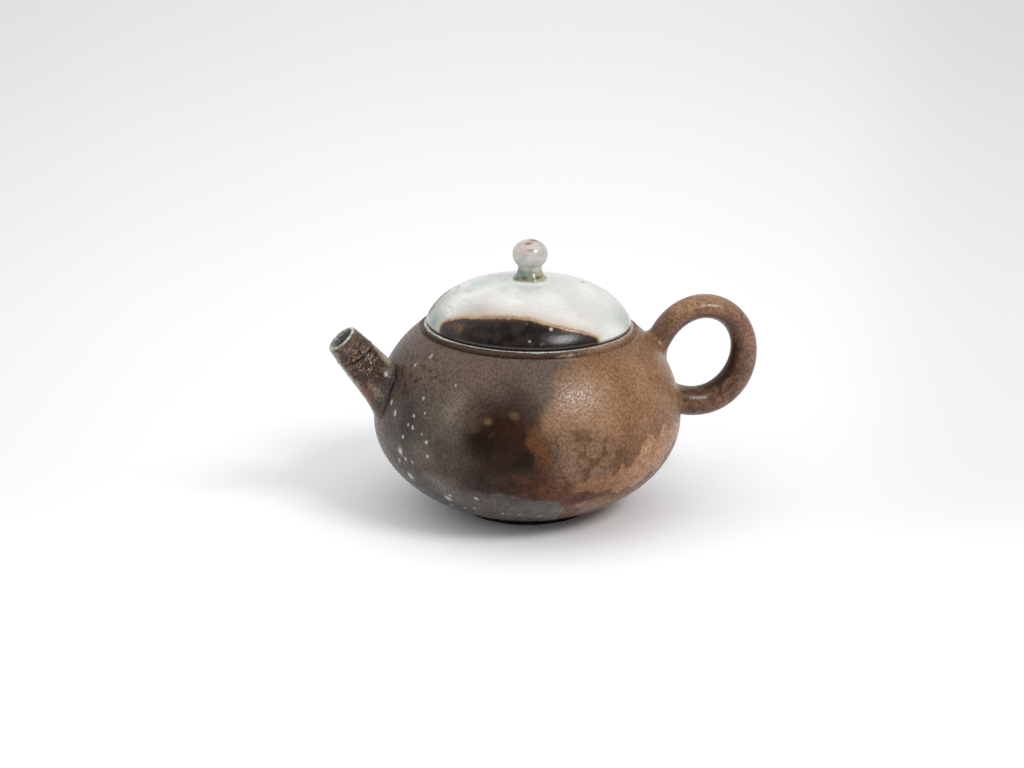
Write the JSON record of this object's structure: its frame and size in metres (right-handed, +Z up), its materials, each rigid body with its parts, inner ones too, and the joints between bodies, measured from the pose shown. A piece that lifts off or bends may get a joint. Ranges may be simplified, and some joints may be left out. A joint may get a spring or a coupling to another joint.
{
  "type": "teapot",
  "caption": "Small round wood-fired teapot with a straight spout, a one-finger ring handle and a domed celadon lid with a ball knob that lifts off and turns in its seat.",
  "frame": {"origin": "on the ground, midway along the overall length between the spout's lip and the handle's outer side, in the pot's mirror plane; the body's own axis stands 6.6 mm from it towards the spout", "axes": "+Z up, +X towards the handle, -X towards the spout, Y across the pot"},
  "size_m": [0.138, 0.096, 0.0859],
  "materials": {
    "fired_body": "wood-ash glaze, brown to grey, satin with a fine orange-peel skin",
    "ash_spout": "thin ash glaze over throwing rings, rust and grey, pale at the lip",
    "bare_foot": "bare fired clay, dark and matte",
    "inner_clay": "bare or thinly glazed fired clay, matte",
    "lid_glaze": "glossy pale celadon-white glaze with a dark bare patch at the front"
  },
  "bodies": {
    "pot": {"pot_body": "fired_body", "foot_ring": "bare_foot", "mouth_collar": "fired_body", "spout": "ash_spout", "spout_strainer": "inner_clay", "handle": "fired_body"},
    "lid_ring": {"lid_flange": "inner_clay"},
    "lid": {"lid_dome": "lid_glaze", "lid_knob": "lid_glaze"}
  },
  "joints": [
    {"name": "lid_lift", "type": "slide", "parent": "pot", "child": "lid_ring", "axis": [0.0175, 0, 0.9998], "range_m": [0, 0.06]},
    {"name": "lid_turn", "type": "hinge", "parent": "lid_ring", "child": "lid", "pos_m": [-0.00611, 0, 0.05764], "axis": [0.0175, 0, 0.9998], "continuous": true}
  ]
}
